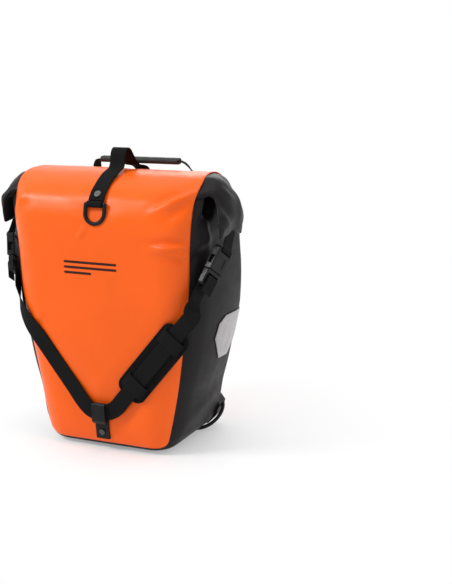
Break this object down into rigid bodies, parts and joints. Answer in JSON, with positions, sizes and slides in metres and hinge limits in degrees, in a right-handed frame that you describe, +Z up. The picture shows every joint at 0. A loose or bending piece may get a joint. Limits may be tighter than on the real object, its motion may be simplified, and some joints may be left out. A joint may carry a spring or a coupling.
{
  "type": "bicycle pannier bag",
  "caption": "Roll-top waterproof pannier bag with rack hooks, carrying handle, shoulder strap and side-release buckles.",
  "frame": {"origin": "centre of the flat underside, on the surface the bag stands on", "axes": "+Z up, -Y the outer face with the shoulder strap, +Y the rack side with rail and hooks, +X the right-hand side seen from the outer face"},
  "size_m": [0.3817, 0.2165, 0.4524],
  "materials": {
    "orange_fabric": "coated, satin",
    "black_fabric": "coated, matt",
    "reflective": "retroreflective sheet",
    "black_print": "printed",
    "stiffener_sheet": "smooth sheet",
    "black_plastic": "moulded, satin",
    "grey_plastic": "moulded, matt",
    "dark_steel": "blackened",
    "steel": "plain",
    "webbing": "woven",
    "pad_fabric": "quilted foam in woven cover",
    "black_rubber": "matt"
  },
  "bodies": {
    "bag": {"front_panel": "orange_fabric", "back_panel": "orange_fabric", "gusset_bottom": "black_fabric", "gusset_left": "black_fabric", "gusset_right": "black_fabric", "roll_end_left": "black_fabric", "roll_end_right": "black_fabric", "closure_roll": "orange_fabric", "mouth_battens": "stiffener_sheet", "inner_pocket": "black_fabric", "back_stiffener": "stiffener_sheet", "reflector_left": "reflective", "reflector_right": "reflective", "front_badge": "black_print", "mounting_rail": "black_plastic", "arc_rail": "grey_plastic", "edge_protector": "black_plastic", "rail_screws": "dark_steel", "arc_rail_screws": "dark_steel", "protector_screws": "dark_steel", "inner_nuts": "steel", "anchor_webbing": "webbing", "closure_strap": "webbing", "closure_rivet": "dark_steel", "strap_hook": "black_plastic", "strap_hook_rivet": "dark_steel", "shoulder_strap": "webbing", "left_buckle_socket": "black_plastic", "right_buckle_socket": "black_plastic", "closure_buckle_socket": "black_plastic", "left_webbing_tab": "webbing", "right_webbing_tab": "webbing"},
    "d_ring": {"d_ring": "black_plastic"},
    "pad": {"shoulder_pad": "pad_fabric", "pad_keepers": "webbing"},
    "left_hook": {"rack_hook_left": "black_plastic", "catch_pin_left": "steel"},
    "right_hook": {"rack_hook_right": "black_plastic", "catch_pin_right": "steel"},
    "left_lift": {"latch_lift_left": "black_plastic"},
    "right_lift": {"latch_lift_right": "black_plastic"},
    "left_catch": {"catch_left": "grey_plastic"},
    "right_catch": {"catch_right": "grey_plastic"},
    "handle": {"handle_webbing": "webbing", "handle_grip": "black_rubber"},
    "lower_slider": {"lower_slider": "black_plastic"},
    "lower_hook": {"lower_hook": "black_plastic", "lower_hook_screw": "dark_steel"},
    "left_plug": {"left_buckle_plug": "black_plastic", "left_strap_tail": "webbing"},
    "right_plug": {"right_buckle_plug": "black_plastic", "right_strap_tail": "webbing"},
    "closure_plug": {"closure_buckle_plug": "black_plastic"},
    "left_arm_a": {"left_buckle_arm_a": "black_plastic"},
    "left_arm_b": {"left_buckle_arm_b": "black_plastic"},
    "right_arm_a": {"right_buckle_arm_a": "black_plastic"},
    "right_arm_b": {"right_buckle_arm_b": "black_plastic"},
    "closure_arm_a": {"closure_buckle_arm_a": "black_plastic"},
    "closure_arm_b": {"closure_buckle_arm_b": "black_plastic"}
  },
  "joints": [
    {"name": "d_ring_swing", "type": "hinge", "parent": "bag", "child": "d_ring", "pos_m": [0, -0.087, 0.378], "axis": [-1, 0, 0], "range_deg": [0, 100]},
    {"name": "left_hook_slide", "type": "slide", "parent": "bag", "child": "left_hook", "axis": [1, 0, 0], "range_m": [-0.045, 0.045]},
    {"name": "right_hook_slide", "type": "slide", "parent": "bag", "child": "right_hook", "axis": [1, 0, 0], "range_m": [-0.045, 0.045]},
    {"name": "left_latch_lift", "type": "slide", "parent": "left_hook", "child": "left_lift", "axis": [0, 0, 1], "range_m": [0, 0.008], "stiffness_N_per_m": 300, "springref_m": -0.004},
    {"name": "right_latch_lift", "type": "slide", "parent": "right_hook", "child": "right_lift", "axis": [0, 0, 1], "range_m": [0, 0.008], "stiffness_N_per_m": 300, "springref_m": -0.004},
    {"name": "left_catch_turn", "type": "hinge", "parent": "left_hook", "child": "left_catch", "pos_m": [-0.088, 0.09, 0.306], "axis": [-1, 0, 0], "range_deg": [0, 75]},
    {"name": "right_catch_turn", "type": "hinge", "parent": "right_hook", "child": "right_catch", "pos_m": [0.088, 0.09, 0.306], "axis": [-1, 0, 0], "range_deg": [0, 75]},
    {"name": "handle_swing", "type": "hinge", "parent": "left_lift", "child": "handle", "pos_m": [0, 0.0895, 0.384], "axis": [-1, 0, 0], "range_deg": [0, 110]},
    {"name": "lower_hook_travel", "type": "hinge", "parent": "bag", "child": "lower_slider", "pos_m": [0, 0.083, 0.265], "axis": [0, 1, 0], "range_deg": [-22, 22]},
    {"name": "lower_hook_turn", "type": "hinge", "parent": "lower_slider", "child": "lower_hook", "pos_m": [0.005, 0.09, 0.1101], "axis": [0, 1, 0], "range_deg": [-120, 120]},
    {"name": "pad_slide", "type": "slide", "parent": "bag", "child": "pad", "axis": [0.6345, 0, 0.7729], "range_m": [-0.008, 0.008]},
    {"name": "left_plug_slide", "type": "slide", "parent": "bag", "child": "left_plug", "axis": [0.2328, -0.395, -0.8887], "range_m": [0, 0.023]},
    {"name": "left_arm_a_squeeze", "type": "hinge", "parent": "left_plug", "child": "left_arm_a", "pos_m": [-0.1654, -0.0587, 0.28798], "axis": [-0.9482, -0.2954, -0.117], "range_deg": [0, 8], "stiffness_Nm_per_rad": 0.1},
    {"name": "left_arm_b_squeeze", "type": "hinge", "parent": "left_plug", "child": "left_arm_b", "pos_m": [-0.16955, -0.04199, 0.27947], "axis": [0.9482, 0.2954, 0.117], "range_deg": [0, 8], "stiffness_Nm_per_rad": 0.1},
    {"name": "right_plug_slide", "type": "slide", "parent": "bag", "child": "right_plug", "axis": [-0.2735, -0.493, -0.8259], "range_m": [0, 0.023]},
    {"name": "right_arm_a_squeeze", "type": "hinge", "parent": "right_plug", "child": "right_arm_a", "pos_m": [0.17353, -0.04905, 0.28265], "axis": [0.944, -0.3023, -0.1321], "range_deg": [0, 8], "stiffness_Nm_per_rad": 0.1},
    {"name": "right_arm_b_squeeze", "type": "hinge", "parent": "right_plug", "child": "right_arm_b", "pos_m": [0.16999, -0.06471, 0.29317], "axis": [-0.944, 0.3023, 0.1321], "range_deg": [0, 8], "stiffness_Nm_per_rad": 0.1},
    {"name": "closure_plug_slide", "type": "slide", "parent": "bag", "child": "closure_plug", "axis": [0, -0.1358, 0.9907], "range_m": [0, 0.023]},
    {"name": "closure_arm_a_squeeze", "type": "hinge", "parent": "closure_plug", "child": "closure_arm_a", "pos_m": [0.0096, 0.08091, 0.37722], "axis": [0, 0.9907, 0.1358], "range_deg": [0, 8], "stiffness_Nm_per_rad": 0.1},
    {"name": "closure_arm_b_squeeze", "type": "hinge", "parent": "closure_plug", "child": "closure_arm_b", "pos_m": [-0.0096, 0.08091, 0.37722], "axis": [0, -0.9907, -0.1358], "range_deg": [0, 8], "stiffness_Nm_per_rad": 0.1}
  ],
  "couplings": [
    {"joint": "right_hook_slide", "follows": "left_hook_slide", "ratio": 1},
    {"joint": "right_latch_lift", "follows": "left_latch_lift", "ratio": 1},
    {"joint": "left_catch_turn", "follows": "left_latch_lift", "rad_per_m": 163.41},
    {"joint": "right_catch_turn", "follows": "left_latch_lift", "rad_per_m": 163.41},
    {"joint": "left_arm_b_squeeze", "follows": "left_arm_a_squeeze", "ratio": 1},
    {"joint": "right_arm_b_squeeze", "follows": "right_arm_a_squeeze", "ratio": 1},
    {"joint": "closure_arm_b_squeeze", "follows": "closure_arm_a_squeeze", "ratio": 1}
  ]
}
